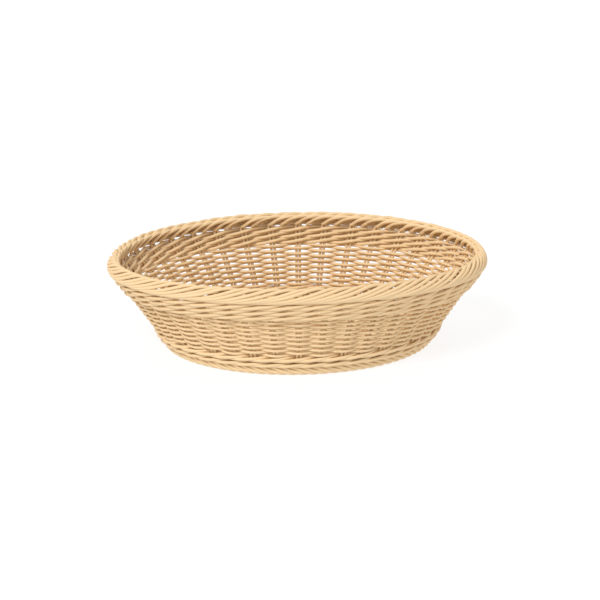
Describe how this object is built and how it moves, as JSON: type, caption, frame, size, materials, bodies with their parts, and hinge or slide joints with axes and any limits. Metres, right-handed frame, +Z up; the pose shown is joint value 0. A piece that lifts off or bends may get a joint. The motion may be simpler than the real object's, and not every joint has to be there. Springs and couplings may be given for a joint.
{
  "type": "bread basket",
  "caption": "Low oval bread basket woven from round pale cane, with flared ends, twin stakes, open plain-weave wall, twined bands and a rolled rim and foot.",
  "frame": {"origin": "on the ground, under the middle of the foot", "axes": "+Z up, +X along the length, +Y across the width"},
  "size_m": [0.3998, 0.2598, 0.1001],
  "materials": {
    "woven_cane": "pale straw plastic cane, semi-matt, lightly streaked",
    "stake_cane": "pale straw plastic cane, semi-matt, lightly streaked"
  },
  "bodies": {
    "root": {"base_sticks": "stake_cane", "base_weave_back": "woven_cane", "base_weave_front": "woven_cane", "base_weave_middle": "woven_cane", "foot_border_back": "woven_cane", "foot_border_front": "woven_cane", "foot_border_left": "woven_cane", "foot_border_right": "woven_cane", "lower_wale_row_1": "woven_cane", "lower_wale_row_2": "woven_cane", "rim_border_back": "woven_cane", "rim_border_front": "woven_cane", "rim_border_left": "woven_cane", "rim_border_right": "woven_cane", "stakes_back": "stake_cane", "stakes_front": "stake_cane", "stakes_left": "stake_cane", "stakes_right": "stake_cane", "upper_wale_row_1": "woven_cane", "upper_wale_row_2": "woven_cane", "upper_wale_row_3": "woven_cane", "weave_row_01": "woven_cane", "weave_row_02": "woven_cane", "weave_row_03": "woven_cane", "weave_row_04": "woven_cane", "weave_row_05": "woven_cane", "weave_row_06": "woven_cane", "weave_row_07": "woven_cane", "weave_row_08": "woven_cane", "weave_row_09": "woven_cane", "weave_row_10": "woven_cane", "weave_row_11": "woven_cane", "weave_row_12": "woven_cane", "weave_row_13": "woven_cane", "weave_row_14": "woven_cane", "weave_row_15": "woven_cane", "weave_row_16": "woven_cane"}
  },
  "joints": []
}
